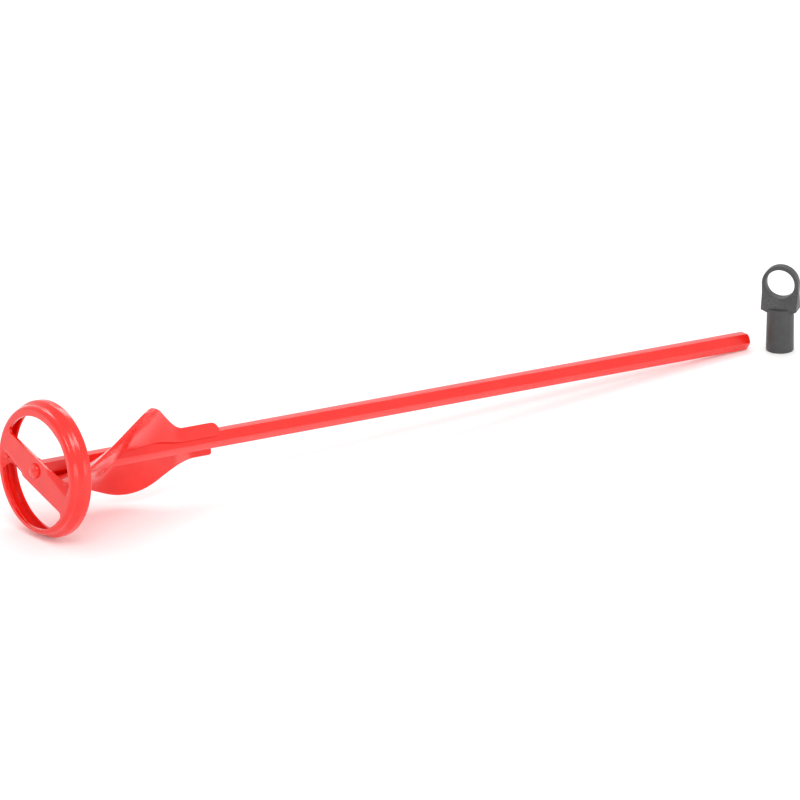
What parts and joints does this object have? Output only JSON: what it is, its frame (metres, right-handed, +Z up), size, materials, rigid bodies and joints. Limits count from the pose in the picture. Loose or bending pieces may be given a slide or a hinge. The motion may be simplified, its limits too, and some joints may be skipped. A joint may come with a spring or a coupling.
{
  "type": "mortar mixing paddle",
  "caption": "Helical two-blade mixing paddle with a pressed end ring on a long hexagonal drill shaft, and a loose plastic hanger cap for its end.",
  "frame": {"origin": "middle of the bounding box's base, on the floor that the paddle lies on", "axes": "+X from the ring towards the drive end along the paddle's length, +Z up, -Y towards the side that the cap stands nearer to"},
  "size_m": [0.4202, 0.0598, 0.0599],
  "materials": {
    "shaft_coat": "glossy red powder coat over solid steel bar",
    "ring_coat": "glossy red powder coat over pressed steel sheet",
    "blade_coat": "glossy red powder coat over formed steel sheet",
    "rivet_coat": "glossy red powder coat over a steel rivet",
    "weld_coat": "glossy red powder coat over weld metal",
    "cap_plastic": "satin moulded dark grey plastic"
  },
  "bodies": {
    "paddle": {"hex_shaft": "shaft_coat", "ring": "ring_coat", "ring_rivet": "rivet_coat", "blade_front": "blade_coat", "blade_back": "blade_coat", "seam_weld": "weld_coat", "hub_weld": "weld_coat", "front_root_weld": "weld_coat", "back_root_weld": "weld_coat", "front_tip_weld": "weld_coat", "back_tip_weld": "weld_coat", "front_strip_weld": "weld_coat", "back_strip_weld": "weld_coat"},
    "cap": {"hanger_cap": "cap_plastic"}
  },
  "joints": [
    {"name": "cap_lift", "type": "slide", "parent": "paddle", "child": "cap", "axis": [0, 0, 1], "range_m": [0, 0.06]}
  ]
}
